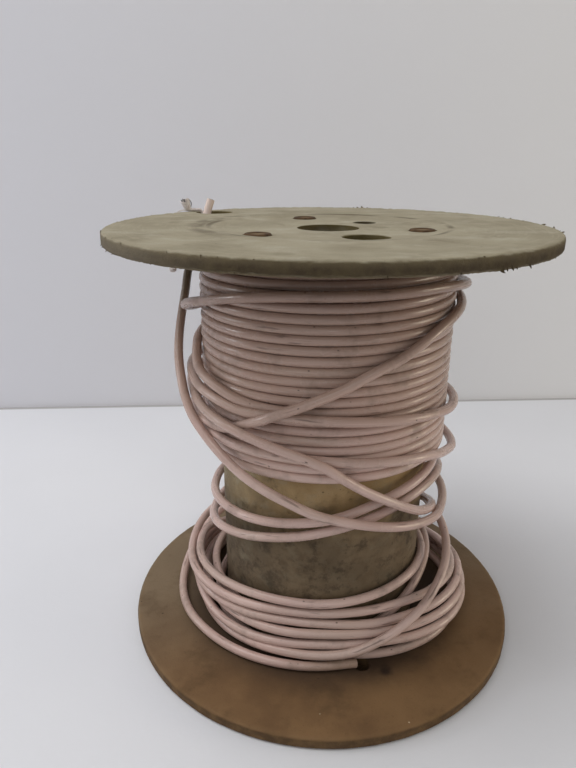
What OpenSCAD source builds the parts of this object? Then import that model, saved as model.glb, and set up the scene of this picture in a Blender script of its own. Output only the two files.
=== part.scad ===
// Spool of insulated electrical wire, standing on its end.
// Two hardboard flanges on a fibre barrel are clamped by three tie bolts.
// The wire lies in two tight layers on the upper half of the barrel. Slack turns cross it,
// a loose heap lies on the lower flange, and the outer end leaves by a hole near the upper rim.
// Origin: centre of the lower flange's underside. +Z runs up the spool's axis, -Y is the front.

/* [Flanges] */
// Diameter of both flanges
flange_d = 203.2; // [180:0.1:260]
// Thickness of a flange board
flange_t = 6; // [5:0.1:10]
// Height over both flanges
spool_h = 207; // [180:1:300]
// Worn rounding of the rim's two edges
rim_round = 1.5; // [0.5:0.1:2.4]
// How far the bolts have drawn the middle of the upper flange down
dish = 1.2; // [0.4:0.1:1.6]

/* [Holes] */
// Diameter of the arbor hole through both flanges
arbor_d = 28.6; // [16:0.1:40]
// Diameter of the drive hole beside it
drive_d = 20; // [10:0.1:22]
// Distance of the drive hole from the axis
drive_r = 37; // [34:0.1:38]
// Diameter of the small hole in the upper flange
pilot_d = 10.4; // [6:0.1:12]
// Distance of the small hole from the axis
pilot_r = 29.2; // [26:0.1:34]
// Diameter of the wire's exit hole in the upper flange
exit_d = 20; // [12:0.1:22]
// Distance of the exit hole from the axis
exit_r = 88; // [80:0.1:88]
// Diameter of the hole in the lower flange that takes the wire's inner end
start_d = 8; // [6:0.1:10]
// Distance of that hole from the axis
start_r = 62.2; // [60:0.1:70]

/* [Barrel] */
// Outside diameter of the fibre tube
barrel_d = 104; // [98:0.1:108]
// Wall of the tube
barrel_wall = 3.5; // [2:0.1:4.5]
// Depth of the ring groove that seats each end of the tube
seat_depth = 2; // [1:0.1:2.5]

/* [Tie bolts] */
// Distance of the bolts from the axis
bolt_r = 43; // [40:0.1:44]
// Diameter of a bolt's shank
bolt_d = 6.2; // [4:0.1:7]
// Diameter of a bolt's flat head
bolt_head_d = 12; // [10:0.1:14]
// Thickness of the head
bolt_head_t = 1.8; // [1:0.1:2.4]
// Width of a nut across its flats
nut_w = 11; // [9:0.1:12]
// Height of a nut
nut_h = 3; // [2:0.1:3.4]

/* [Wire] */
// Outside diameter of the insulated wire
wire_d = 4.4; // [3:0.1:5]
// Turns in the outer layer of the tight winding
turns = 22; // [10:1:24]
// How far the loose heap lies behind the axis
heap_shift = 5; // [2:0.5:6]
// Centre line radius of the big loop on the lower flange
loop_r = 76.5; // [74:0.5:80]
// How far that loop lies behind the axis
loop_shift = 13; // [10:0.5:16]

/* [Hidden] */
$fn = 96;

board = [0.47, 0.40, 0.28];
board_pale = [0.58, 0.55, 0.46];
fibre = [0.42, 0.36, 0.25];
rusty = [0.36, 0.24, 0.16];
vinyl = [0.62, 0.52, 0.48];

eps = 1;
fit_gap = 0.3;
thread_gap = 0.05;
flange_r = flange_d / 2;
barrel_r = barrel_d / 2;
wire_r = wire_d / 2;
top_z = spool_h - flange_t;

// The upper flange bends over the tube's inner edge: its crease shows above, outside the tube
dish_out = barrel_r + 4;
dish_in = barrel_r - 6;
under_out = barrel_r - barrel_wall - 2 * fit_gap;
under_in = under_out - (dish_out - dish_in);

drive_angle = -65;
pilot_angle = 52;
exit_angle = 136;
start_angle = -70.5;
bolt_angles = [-133.5, -13.5, 106.5];

bolt_hole_d = bolt_d + 2 * fit_gap;
head_sink = bolt_head_t + 0.2;
head_floor = spool_h - dish - head_sink;
nut_sink = nut_h + 0.4;
nut_sink_d = nut_w / cos(30) + 1.6;
nut_low = nut_sink - nut_h;
bolt_low = nut_low + 0.2;

layer_step = wire_d * cos(30);
winding_in = barrel_r + fit_gap / 3;
winding_out = winding_in + wire_r + layer_step;
winding_h = turns * wire_d;

// Rows of the heap from the lower flange up the barrel: how far each stands out, in wire radii
heap_out = [2.85, 3.2, 2.8, 2.2, 1.6, 1.2, 1];
heap_bore = barrel_r + heap_shift + fit_gap;
heap_step = 1.09 * wire_d;
function heap_row(i) = [heap_bore + heap_out[i] * wire_r, flange_t + wire_r + i * heap_step];

// How far the slack turns hang below the winding, and the upper one below the flange
slack_low_drop = 31.2;
slack_mid_drop = 19.7;
slack_top_drop = 19.5;

// Slack turns are sloping rings that touch what they lie round: centre height, slope, core's radius
winding_low = top_z - winding_h;
slack_low_ring = [winding_low - slack_low_drop, 16, barrel_r];
slack_mid_ring = [winding_low - slack_mid_drop, 10, barrel_r];
slack_top_ring = [top_z - slack_top_drop, 5, winding_out + wire_r];

// Free stretches of the wire, as [angle round the axis, distance from it, height]
tail_route = [
  [138, 86.5, 214], [139, 87.5, 210], [140, 88, 206], [140.5, 87, 201], [142.5, 85.5, 195.5],
  [147, 83.5, 189.5], [153, 80.5, 184],
  [160, 77, 179], [168, 74.5, 171], [175, 73.5, 162], [181, 73, 153], [188, 72, 145],
  [194, 71, 136.5], [200, 70, 129], [206, 68.5, 122.5], [213, 66.5, 117.5], [221, 65, 113],
  [229, 65, 109], [238, 65, 104.5], [247, 65, 101], [257, 64, 96.5], [268, 63.5, 91],
  [281, 63, 87], [295, 63, 82.5], [308, 63, 78.5], [319, 63.5, 76.5], [330, 63.5, 73.5],
  [342, 62.5, 71.5], [354, 63, 72.5], [366, 63.5, 73.5], [378, 63, 74.5], [390, 61, 75.5],
  [402, 58, 76.5], [414, 55, 77]
];
cross_route = [
  [226, 63.5, 123], [238, 63.5, 129.5], [248, 63.5, 133.5], [258, 63.5, 139], [268, 63.5, 144.5],
  [278, 63.5, 150], [289, 63.5, 156], [300, 63.5, 161], [310, 63.5, 166], [320, 63.5, 170],
  [332, 63.5, 173], [344, 63.5, 174.5], [356, 63.5, 175.5], [368, 63.5, 176]
];
drop_route = [
  [160, 63.5, 136], [171, 65, 135], [182, 66, 133], [193, 65.5, 131], [204, 65.5, 129.5],
  [216, 67, 129.5], [228, 68.5, 129], [239, 68.5, 127], [248, 67, 124], [257, 65, 120.5],
  [267, 63.5, 116.5], [277, 63.5, 109], [286, 63.5, 102.5], [296, 63.5, 95.5], [307, 63.5, 88.5],
  [318, 62, 82], [329, 60.5, 78], [341, 58, 77], [353, 56, 76], [366, 55, 75]
];
riser_route = [
  [284, 64.5, 16.5], [295, 65.5, 20.5], [307, 67, 26], [316, 68.5, 31], [326, 68.5, 36.5],
  [338, 68, 41], [350, 67.5, 45], [361, 66.5, 48.5], [372, 65, 52], [384, 61.5, 56],
  [396, 58, 59], [408, 55, 61]
];
end_route = [
  [136.5, 95, 198], [136.5, 95.2, 205.5], [137, 96.5, 209.5], [138.5, 98.5, 210],
  [140, 100.5, 210.5], [141, 101.5, 211.5], [142, 102.5, 213], [142.5, 103, 215]
];

function on_spool(p) = [p[1] * cos(p[0]), p[1] * sin(p[0]), p[2]];
function unit(v) = v / norm(v);
function heading(path, i) =
  unit(path[min(i + 1, len(path) - 1)] - path[max(i - 1, 0)]);

// The first side of a ring stays square to the path and to the spool's radius
function side(path, i) =
  let (out = [path[i][0], path[i][1], 0], h = heading(path, i))
  unit(cross(h, out));

module cord(route, sides = 10) {
  path = [for (p = route) on_spool(p)];
  last = len(path) - 1;
  rings = [
    for (i = [0:last])
      let (u = side(path, i), v = cross(heading(path, i), u))
      for (k = [0:sides - 1])
        path[i] + wire_r * (cos(360 * k / sides) * u + sin(360 * k / sides) * v)
  ];
  walls = [
    for (i = [0:last - 1], k = [0:sides - 1])
      let (a = i * sides + k, b = i * sides + (k + 1) % sides)
      each [[a, a + sides, b + sides], [a, b + sides, b]]
  ];
  near_cap = [for (k = [0:sides - 1]) k];
  far_cap = [for (k = [sides - 1:-1:0]) last * sides + k];
  polyhedron(rings, concat([near_cap, far_cap], walls), convexity = 6);
}

module at(angle, radius, height = 0) {
  translate([radius * cos(angle), radius * sin(angle), height]) children();
}

module hole(angle, radius, diameter, low, high) {
  at(angle, radius, low) cylinder(d = diameter, h = high - low);
}

// Rim of a flange with its rounded edges, as a half section
module rim_section() {
  flat_r = flange_r - rim_round;
  translate([dish_out, 0]) square([flat_r - dish_out, flange_t]);
  translate([flat_r, rim_round]) square([rim_round, flange_t - 2 * rim_round]);
  translate([flat_r, rim_round]) circle(rim_round);
  translate([flat_r, flange_t - rim_round]) circle(rim_round);
}

module tube_groove(low, high) {
  translate([0, 0, low]) difference() {
    cylinder(r = barrel_r + fit_gap, h = high - low);
    translate([0, 0, -eps])
      cylinder(r = barrel_r - barrel_wall - fit_gap, h = high - low + 2 * eps);
  }
}

module lower_flange() {
  color(board) difference() {
    rotate_extrude() {
      rim_section();
      square([dish_out, flange_t]);
    }
    hole(0, 0, arbor_d, -eps, flange_t + eps);
    hole(drive_angle, drive_r, drive_d, -eps, flange_t + eps);
    hole(start_angle, start_r, start_d, -eps, flange_t + eps);
    for (a = bolt_angles) {
      hole(a, bolt_r, bolt_hole_d, -eps, flange_t + eps);
      hole(a, bolt_r, nut_sink_d, -eps, nut_sink);
    }
    tube_groove(flange_t - seat_depth, flange_t + eps);
  }
}

module upper_flange() {
  color(board_pale) difference() {
    translate([0, 0, top_z]) rotate_extrude() {
      rim_section();
      polygon([
        [0, -dish], [under_in, -dish], [under_out, 0], [dish_out, 0],
        [dish_out, flange_t], [dish_in, flange_t - dish], [0, flange_t - dish]
      ]);
    }
    hole(0, 0, arbor_d, top_z - dish - eps, spool_h + eps);
    hole(drive_angle, drive_r, drive_d, top_z - dish - eps, spool_h + eps);
    hole(pilot_angle, pilot_r, pilot_d, top_z - dish - eps, spool_h + eps);
    hole(exit_angle, exit_r, exit_d, top_z - eps, spool_h + eps);
    for (a = bolt_angles) {
      hole(a, bolt_r, bolt_hole_d, top_z - dish - eps, spool_h + eps);
      hole(a, bolt_r, bolt_head_d + 2 * fit_gap, head_floor, spool_h + eps);
    }
    tube_groove(top_z - eps, top_z + seat_depth);
  }
}

module barrel() {
  low = flange_t - seat_depth;
  high = top_z + seat_depth;
  color(fibre) difference() {
    translate([0, 0, low]) cylinder(d = barrel_d, h = high - low);
    translate([0, 0, low - eps])
      cylinder(d = barrel_d - 2 * barrel_wall, h = high - low + 2 * eps);
  }
}

module tie_bolt(i) {
  color(rusty) at(bolt_angles[i], bolt_r) {
    translate([0, 0, bolt_low]) cylinder(d = bolt_d, h = head_floor - bolt_low);
    translate([0, 0, head_floor]) cylinder(d = bolt_head_d, h = bolt_head_t);
  }
}

module nut(i) {
  color(rusty) at(bolt_angles[i], bolt_r, nut_low) difference() {
    cylinder(d = nut_w / cos(30), h = nut_h, $fn = 6);
    translate([0, 0, -eps]) cylinder(d = bolt_d + 2 * thread_gap, h = nut_h + 2 * eps);
  }
}

// Two nested layers in one turned solid: each outer turn stands out as a half round ridge
module wire_winding() {
  color(vinyl) translate([0, 0, winding_low]) rotate_extrude() {
    translate([winding_in, 0]) square([winding_out - winding_in, winding_h]);
    for (i = [0:turns - 1])
      translate([winding_out, (i + 0.5) * wire_d]) circle(wire_r, $fn = 32);
  }
}

// Loose turns slumped on the lower flange and against the front of the barrel
module wire_heap() {
  rows = len(heap_out);
  top = heap_row(rows - 1);
  color(vinyl) translate([0, heap_shift, 0]) rotate_extrude() {
    polygon(concat(
      [[heap_bore, top[1]], [heap_bore, flange_t], [heap_row(0)[0], flange_t]],
      [for (i = [0:rows - 1]) heap_row(i)]
    ));
    for (i = [0:rows - 1]) translate(heap_row(i)) circle(wire_r, $fn = 32);
  }
}

module ring_turn(radius) {
  rotate_extrude() translate([radius, 0]) circle(wire_r, $fn = 32);
}

module heap_loop() {
  color(vinyl) translate([0, loop_shift, flange_t + wire_r]) ring_turn(loop_r);
}

module slack_turn(ring) {
  radius = (ring[2] + wire_r + fit_gap) / cos(ring[1]);
  color(vinyl) translate([0, 0, ring[0]]) rotate([0, -ring[1], 0]) ring_turn(radius);
}

module wire_stretch(route) {
  color(vinyl) cord(route);
}

lower_flange();
upper_flange();
barrel();
tie_bolt(0);  // tie_bolt_1
tie_bolt(1);  // tie_bolt_2
tie_bolt(2);  // tie_bolt_3
nut(0);  // nut_1
nut(1);  // nut_2
nut(2);  // nut_3
wire_winding();
wire_heap();
heap_loop();
slack_turn(slack_low_ring);  // slack_low
slack_turn(slack_mid_ring);  // slack_mid
slack_turn(slack_top_ring);  // slack_top
wire_stretch(tail_route);  // wire_tail
wire_stretch(cross_route);  // wire_cross
wire_stretch(drop_route);  // wire_drop
wire_stretch(riser_route);  // wire_riser
wire_stretch(end_route);  // wire_end
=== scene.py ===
# %% [markdown]
# # A spool of electrical wire
# A reel of two hardboard discs on a fibre tube, with about 22 m of pink vinyl wire on it. The solids
# come from the packed CAD model, and this lesson gives them their looks in that model's own frame: the
# spool stands on z = 0, its axis is z, and -y is the front. Shapes are written in mm and made metres
# by MM. The finishes are written in metres, as Blender reads them.

# %% Load the frame
import math
import random

import bpy
import numpy as np
from mathutils import Matrix, Vector


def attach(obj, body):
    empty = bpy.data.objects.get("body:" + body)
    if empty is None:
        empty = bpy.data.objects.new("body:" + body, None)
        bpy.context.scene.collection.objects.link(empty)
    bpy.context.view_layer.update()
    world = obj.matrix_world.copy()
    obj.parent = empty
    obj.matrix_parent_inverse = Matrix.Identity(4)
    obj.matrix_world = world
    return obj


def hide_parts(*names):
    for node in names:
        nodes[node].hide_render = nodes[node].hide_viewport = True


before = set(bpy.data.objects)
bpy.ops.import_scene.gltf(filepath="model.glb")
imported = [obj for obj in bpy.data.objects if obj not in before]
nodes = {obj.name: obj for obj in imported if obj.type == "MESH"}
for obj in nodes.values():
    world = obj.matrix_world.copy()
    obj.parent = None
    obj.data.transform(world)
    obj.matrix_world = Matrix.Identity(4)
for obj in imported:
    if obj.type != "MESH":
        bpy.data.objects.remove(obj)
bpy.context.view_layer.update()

scene = bpy.context.scene
MM = 0.001
UP = Vector((0, 0, 1))

# %% [markdown]
# ## The camera
# The photograph was taken close to the spool and a little from above. A camera was fitted to the two
# rims, which are circles of one size a known height apart, so its place in mm, its tilt in degrees and
# its focal length in pixels are numbers. A close camera makes the lower disc look smaller than the
# upper one, so the place matters as much as the angle. Blender's camera looks along its own -z with
# +y up, so the three axes are its columns.


# %% Place the camera
def added(name, data):
    """Put a new object with the given data into the scene."""
    made = bpy.data.objects.new(name, data)
    scene.collection.objects.link(made)
    return made


PHOTO_WIDTH, PHOTO_HEIGHT, FOCAL_LENGTH = 576, 768, 623.04
CAMERA_PLACE = (-1.87, -296.3, 237.9)
PITCH, YAW, ROLL = (math.radians(a) for a in (20.31, -3.19, 0.19))
ahead = Vector((math.sin(YAW) * math.cos(PITCH), math.cos(YAW) * math.cos(PITCH), -math.sin(PITCH)))
level = Vector((math.cos(YAW), -math.sin(YAW), 0))
upright = level.cross(ahead)
right = math.cos(ROLL) * level + math.sin(ROLL) * upright
above = -math.sin(ROLL) * level + math.cos(ROLL) * upright
camera_data = bpy.data.cameras.new("camera")
camera_data.sensor_width = 36
camera_data.lens = camera_data.sensor_width * FOCAL_LENGTH / PHOTO_HEIGHT
camera_data.clip_start = 0.01
camera = added("camera", camera_data)
camera.matrix_world = Matrix.Translation(Vector(CAMERA_PLACE) * MM) @ Matrix(
    (right, above, -ahead)).transposed().to_4x4()
scene.camera = camera
print("lens", round(camera_data.lens, 2), "mm")

# %% [markdown]
# ## The wire's route
# The wire is one cord from the hole in the upper disc to the hole in the lower one. On a spool it is
# easiest to give a point by its angle round the axis, its distance from the axis and its height,
# because then every turn is 360 degrees more of the same. The loose stretches are lists of points
# chosen to follow the photograph, and the tight layers are worked out by a loop. The angle
# keeps growing all the way: 180 is the left side, 270 the front, 360 the right side and 450 the back.

# %% The end that leaves the hole, and the long slack turn across the front
TAIL = [
    (138, 86.8, 214), (138.9, 87.4, 210), (139.8, 87.6, 206), (141, 87.3, 201), (143.4, 86.4, 195.5),
    (147.4, 84.7, 189.5), (152.6, 82.3, 183.8), (157.4, 79.8, 177.8), (162, 77.4, 171.3),
    (167.8, 75.3, 164.6), (174.2, 73.8, 157.8), (180.8, 72.8, 151), (187.5, 72, 144), (194, 71, 136.5),
    (200, 70, 129), (206, 68.5, 122.5), (213, 66.8, 117.5), (221, 65.6, 113), (229, 65.2, 109),
    (238, 65, 104.7), (247, 64.8, 100.8), (257, 64, 96.3), (268, 63.3, 91), (281, 63, 87),
    (295, 63, 82.5), (308, 63, 78.6), (319, 63.5, 76), (330, 63.5, 73.5), (342, 62.8, 71.5),
    (354, 63.2, 72), (366, 63.5, 72.6), (390, 61, 72.4), (420, 58, 72.4), (450, 56.5, 72.4),
    (480, 56.5, 72.3), (505, 56.8, 72.2), (530, 57, 72.4)]
SLACK_UPPER = [
    (540, 56.7, 73.2), (550, 57, 73.6), (565, 57, 75.2), (580, 57, 76.7), (595, 57, 78.3),
    (607, 57, 80), (622, 57, 82.7), (634, 57, 85.1), (643, 57, 87.7), (652.5, 57, 90.7), (663, 57, 93),
    (677, 57, 95.2), (690, 56.8, 96.3), (704, 56.3, 95.5), (712, 56.2, 94), (722, 56.4, 93),
    (737, 57, 93.5), (755, 57.8, 95.4), (775, 60.3, 98.1), (795, 64.2, 102.3), (815, 66.3, 107),
    (840, 66.8, 111.5), (865, 66.8, 115), (890, 66.6, 118), (912, 65.4, 120.2)]
print("first loose points", len(TAIL) + len(SLACK_UPPER))

# %% The turns that climb over the tight layer
CROSSING = [
    (930, 63.8, 121.7), (946, 63, 123.4), (953, 63.3, 126.4), (958, 64.4, 129.3), (963, 65.7, 132.1),
    (968, 66.7, 134.9), (974, 66.8, 138.6), (981, 66.2, 142), (988, 65, 145.4), (998, 63.3, 150),
    (1008, 63, 155.7), (1020, 63, 160.9), (1027, 63, 164.4), (1038, 63, 169.2), (1049, 63, 172.3),
    (1072, 62.8, 174.8), (1088, 63, 175.6), (1105, 63.2, 175.8), (1130, 63.2, 174.5),
    (1160, 63.2, 171.5), (1190, 63.5, 168), (1215, 64.5, 165.5), (1235, 66, 164.8), (1250, 67, 165.6)]
TOP_TURN = [
    (1268, 67.4, 170.4), (1279, 66, 174.4), (1291, 64.2, 177.7), (1312, 63, 183), (1333, 63, 186.2),
    (1351, 63, 187), (1373, 63, 187.2), (1397, 63.4, 187.2), (1415, 64, 185.5), (1432, 64.3, 183),
    (1455, 65.6, 180), (1480, 67.3, 177), (1505, 67.9, 173.8), (1530, 67.8, 169), (1545, 66.6, 164.9),
    (1560, 64.2, 161.2), (1580, 62.6, 158), (1600, 62.4, 156), (1615, 62.4, 154.8), (1626, 62.5, 153.6),
    (1632, 62.7, 152.3), (1637, 63.3, 150.4), (1642, 64.1, 147.8), (1649, 64.6, 145.2),
    (1656, 64, 143.3), (1663, 63, 141.2), (1671, 61.7, 139), (1681, 59.8, 137.3), (1692, 58.5, 136.9)]
print("climbing points", len(CROSSING) + len(TOP_TURN))

# %% The turn that hangs from the lower edge, and the two that fall to the heap
LOWER_TURN = [
    (14415, 54.6, 104.2), (14430, 56.6, 101.6), (14445, 59.7, 101.2), (14460, 62.4, 103.5),
    (14478, 63.1, 107.5), (14500, 63, 110.8), (14525, 62.6, 113.3), (14550, 62.3, 115.2),
    (14580, 62.2, 116.6), (14613, 62.1, 117.1), (14626, 62, 116.8), (14644, 62, 117),
    (14656, 62, 117.1), (14669, 62.1, 116.9), (14685, 62.1, 115.4), (14698, 62.2, 113.9),
    (14709, 62.4, 112.3), (14718, 62.6, 110.6), (14730, 62.5, 106.8), (14742, 63, 103),
    (14752, 65, 100.6), (14768, 66.3, 99), (14790, 66.4, 98.5), (14820, 65.6, 96.8),
    (14850, 63.6, 97.3), (14880, 60.9, 100.8), (14905, 58.7, 104.1)]
LOOSE_TURN = [
    (17315, 58.9, 134.8), (17340, 60.8, 136), (17365, 62.8, 137.6), (17390, 64.2, 139),
    (17415, 65.3, 140.2), (17440, 66.2, 140.8), (17465, 66.2, 140.2), (17475, 65.6, 138.9),
    (17493, 65, 137.3), (17504, 64, 135.9), (17513, 63.2, 134.6), (17523, 62.7, 134.8),
    (17534, 62.2, 135.5), (17548, 62.2, 135.2), (17572, 62.4, 133.7), (17586, 62.7, 132.2),
    (17598.5, 63, 130.8), (17612, 63.5, 128.6), (17634, 63.8, 126.2), (17650, 64.2, 124.9),
    (17670, 64.3, 124.6), (17700, 64, 126), (17730, 64, 129), (17760, 64.6, 132), (17785, 65.8, 133.5),
    (17805, 67, 133.4)]
DROP = [
    (17822, 67, 132.7), (17833, 65.8, 131.3), (17844, 65.4, 130), (17856, 66.8, 129.8),
    (17868, 68.3, 129.1), (17879, 68.5, 127.2), (17888, 67.6, 124.5), (17896, 66.9, 121.9),
    (17903, 66.7, 119.6), (17910, 66.6, 116.4), (17917, 65.2, 110.4), (17926, 63.4, 102.9),
    (17936, 62.8, 96), (17947, 62.4, 88.7), (17958, 61, 81.9), (17969, 60, 77.3), (17980, 58.4, 73),
    (17990, 57.2, 68.6), (18005, 56.1, 62.5), (18020, 55.4, 56.5), (18040, 55, 49), (18065, 54.8, 40),
    (18090, 54.8, 31), (18115, 54.9, 23), (18140, 55.3, 16.5), (18160, 55.9, 12.3)]
print("falling points", len(LOWER_TURN) + len(LOOSE_TURN) + len(DROP))

# %% The heap on the lower disc
HEAP_INNER = [
    (18180, 56.5, 9.8), (18205, 56.5, 8.7), (18240, 55.6, 8.6), (18270, 55.6, 8.8), (18285, 57, 8.7),
    (18293, 59.2, 8.6), (18300, 61.3, 8.5), (18315, 66, 8.5), (18330, 70.5, 8.5), (18345, 73.2, 8.5),
    (18360, 74.3, 8.5), (18405, 72, 8.5), (18450, 68, 9.5), (18480, 66.7, 15), (18495, 66.6, 19.5),
    (18512, 67.5, 26), (18525, 68.5, 30.5), (18540, 67.3, 32.5), (18555, 65, 32.9), (18570, 61.3, 33.3),
    (18585, 57.6, 34.3), (18600, 55.4, 35.5), (18615, 54.7, 36.6), (18630, 54.5, 37.1),
    (18660, 54.6, 38.7), (18675, 55.1, 39.8), (18690, 55.2, 40.1), (18705, 54.7, 39.5),
    (18720, 54.5, 38.3), (18765, 56.5, 34.5), (18788, 58.9, 31.6), (18810, 59.4, 29.8),
    (18830, 59.4, 28.4), (18855, 58.9, 27.5), (18900, 58.4, 26.6), (18925, 56.6, 25.4),
    (18945, 55, 22.8), (18970, 54.5, 18.7), (18990, 54.4, 17.3), (19005, 54.4, 18.2), (19020, 54.5, 21),
    (19040, 55, 27), (19060, 55.7, 32.2), (19075, 57.4, 35.2), (19088, 59, 36.2), (19125, 62, 37),
    (19170, 65.5, 37.5), (19215, 70.3, 37), (19245, 72.7, 34), (19260, 72.1, 30.5), (19275, 69.8, 29.7),
    (19290, 65.4, 28.9), (19305, 60.4, 28.8), (19320, 56.8, 29.8), (19335, 54.9, 30.9),
    (19350, 54.7, 31.7), (19380, 56, 31), (19395, 59, 30.6), (19410, 64.5, 30.3), (19425, 69.5, 30),
    (19440, 72, 27.5), (19485, 73.5, 18.5), (19530, 71.5, 15.6), (19575, 71.5, 20)]
HEAP_OUTER = [
    (19620, 70, 23.3), (19635, 68, 24), (19653, 63.8, 23.9), (19670, 59.6, 24.3), (19695, 55.6, 26),
    (19710, 55.4, 26.5), (19740, 59.2, 25.4), (19755, 63, 25.2), (19770, 68.8, 25.3),
    (19785, 73.5, 25.1), (19800, 76.5, 23), (19845, 77.3, 16), (19890, 75.8, 13.1), (19935, 70.6, 13.7),
    (19980, 64.5, 18.6), (19995, 62.6, 19.4), (20013, 60.6, 19.4), (20030, 59.2, 20), (20055, 58.6, 22),
    (20070, 58.3, 22.8), (20100, 61.5, 21.6), (20115, 65.8, 20.7), (20130, 71.5, 20.5), (20145, 76, 20),
    (20160, 78.3, 17.5), (20205, 80, 12.6), (20250, 80, 11.8), (20295, 76, 14), (20340, 69.5, 18.2),
    (20355, 67.2, 17.4), (20370, 64.6, 14.4), (20388, 61.6, 13.6), (20415, 59.4, 16.2),
    (20430, 59.3, 17.6), (20445, 60.3, 17.5), (20460, 62.9, 16.9), (20475, 67.8, 15.9),
    (20490, 73.5, 15.5), (20505, 77, 14.5), (20520, 79, 12.5), (20565, 78, 8.8), (20610, 76, 8.5),
    (20655, 71.5, 8.5)]
RISER = [
    (20700, 66, 8.5), (20745, 61.8, 8.9), (20760, 61.3, 10.5), (20775, 61.6, 12.4), (20790, 62.3, 13.6),
    (20804, 64.2, 16.2), (20814.7, 65.5, 20.2), (20827, 67.2, 26.2), (20836, 68.3, 31.1),
    (20846.3, 68.5, 36.6), (20858, 68.2, 41), (20870, 67.3, 44.8), (20884, 65.9, 48.3),
    (20894, 64.6, 50.7), (20915, 62, 53), (20940, 60, 54), (20980, 58.4, 55), (21020, 58, 55.4),
    (21050, 58, 55.8)]
SLACK_LOWER = [
    (21060, 58, 56.3), (21070, 58.1, 57.9), (21083, 58, 60.8), (21096, 57.5, 63.8), (21111, 57, 67.4),
    (21127, 57, 72), (21142, 57, 76), (21154, 57, 79.4), (21168, 57, 83), (21178, 57, 85.2),
    (21190, 57, 87.6), (21201, 57.5, 89.4), (21216, 58.4, 90), (21234, 59.5, 87.4), (21250, 62, 82.5),
    (21270, 66, 76), (21290, 69, 68.5), (21315, 72, 58), (21340, 75, 46), (21365, 78, 33),
    (21388, 79.8, 21.5), (21405, 79.6, 13.5)]
LAST_TURN = [
    (21420, 78.2, 9.4), (21440, 75.4, 8.5), (21457, 71.6, 8.5), (21474, 68.5, 8.5), (21492, 65.7, 8.5),
    (21506, 64.1, 8.4), (21514, 63.4, 8.4), (21520, 62.9, 8.4), (21523, 62.7, 8.2), (21525, 62.6, 7.9),
    (21526.8, 62.5, 7.5)]
print("heap points", len(HEAP_INNER) + len(HEAP_OUTER) + len(RISER) + len(SLACK_LOWER) + len(LAST_TURN))

# %% [markdown]
# ## The tight layers
# A wound layer is a helix: each turn climbs by one wire's thickness. The outer layer climbs to the
# upper disc, the wire steps in, and the inner layer, which is hidden, goes down again underneath.
# Twenty-four points a turn are enough, because the smoothing below rounds what is between them.

# %% Work out the layers and join the whole route
WIRE_D = 4.4
OUTER_R, INNER_R, HIGHEST_TURN = 58.1, 54.3, 198.8


def layer(start, end, height, climb, radius):
    """Points of a helix from one angle to another, 24 to a turn."""
    count = round((end - start) / 15)
    angles = [start + (end - start) * i / count for i in range(count + 1)]
    return [(a, radius, height + climb * (a - start) / 360) for a in angles]


climb_up = layer(1710, 6750, 137.2, WIRE_D, OUTER_R)
step_in = [(6780, 57.2, HIGHEST_TURN), (6810, 55.4, HIGHEST_TURN)]
climb_down = layer(6840, 14400, HIGHEST_TURN, -WIRE_D, INNER_R)
lower_layer = layer(14940, 17280, 105.3, WIRE_D, OUTER_R)
route = np.array(
    TAIL + SLACK_UPPER + CROSSING + TOP_TURN + climb_up + step_in + climb_down + LOWER_TURN
    + lower_layer + LOOSE_TURN + DROP + HEAP_INNER + HEAP_OUTER + RISER + SLACK_LOWER + LAST_TURN, float)
print("route points", len(route), "turns", round((route[-1, 0] - route[0, 0]) / 360, 1))

# %% [markdown]
# ## From points to a smooth line
# A cubic through the points, with each point's slope taken from its two neighbours, gives a line
# with no corners. It is worked out in angle, radius and height, so that a turn stays round between
# two points that are far apart. A slow waver of a tenth of a millimetre stops the layers from
# looking machined: hand-wound vinyl wire never lies quite still.


# %% Smooth the route
def on_spool(points):
    """Angle, radius and height in mm to a place in metres."""
    angle = np.radians(points[:, 0])
    return MM * np.c_[points[:, 1] * np.cos(angle), points[:, 1] * np.sin(angle), points[:, 2]]


def smooth(points, spacing):
    """A cubic through the points, with a new point about every spacing metres."""
    gaps = np.linalg.norm(np.diff(on_spool(points), axis=0), axis=1)
    rates = np.diff(points, axis=0) / gaps[:, None]
    slopes = np.vstack([rates[:1], (rates[:-1] * gaps[1:, None] + rates[1:] * gaps[:-1, None])
                        / (gaps[1:] + gaps[:-1])[:, None], rates[-1:]])
    line = []
    for i, gap in enumerate(gaps):
        count = max(1, round(gap / spacing))
        t = (np.arange(count) / count)[:, None]
        line.append((2 * t**3 - 3 * t**2 + 1) * points[i] + (t**3 - 2 * t**2 + t) * gap * slopes[i]
                    + (3 * t**2 - 2 * t**3) * points[i + 1] + (t**3 - t**2) * gap * slopes[i + 1])
    return np.vstack([*line, points[-1:]])


SPACING, EASED_OVER = 0.0036, 3
fine = smooth(route, SPACING)
turned = np.radians(fine[:, 0])
ease = np.minimum(1, np.minimum(turned - turned[0], turned[-1] - turned) / EASED_OVER)
fine[:, 1] += ease * (0.07 * np.sin(1.73 * turned) + 0.05 * np.sin(4.31 * turned + 1) + 0.05)
fine[:, 2] += ease * (0.09 * np.sin(1.19 * turned + 2) + 0.06 * np.sin(3.77 * turned))
centre = on_spool(fine)
along = np.r_[0, np.cumsum(np.linalg.norm(np.diff(centre, axis=0), axis=1))]
WIRE_LENGTH = float(along[-1])
print("wire", round(WIRE_LENGTH, 2), "m in", len(centre), "points")

# %% [markdown]
# ## The wire itself
# A poly curve with a round bevel becomes a tube, and converting it gives a mesh that a material can
# follow. Each ring of the tube has the same number of corners in the same order, so every corner
# can also be told where it was before the wire was wound: how far along, and where round it. The
# corners of the two caps come last and count as the last ring. These places go into an attribute,
# and scratches and streaks drawn by it run along the wire.


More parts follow.
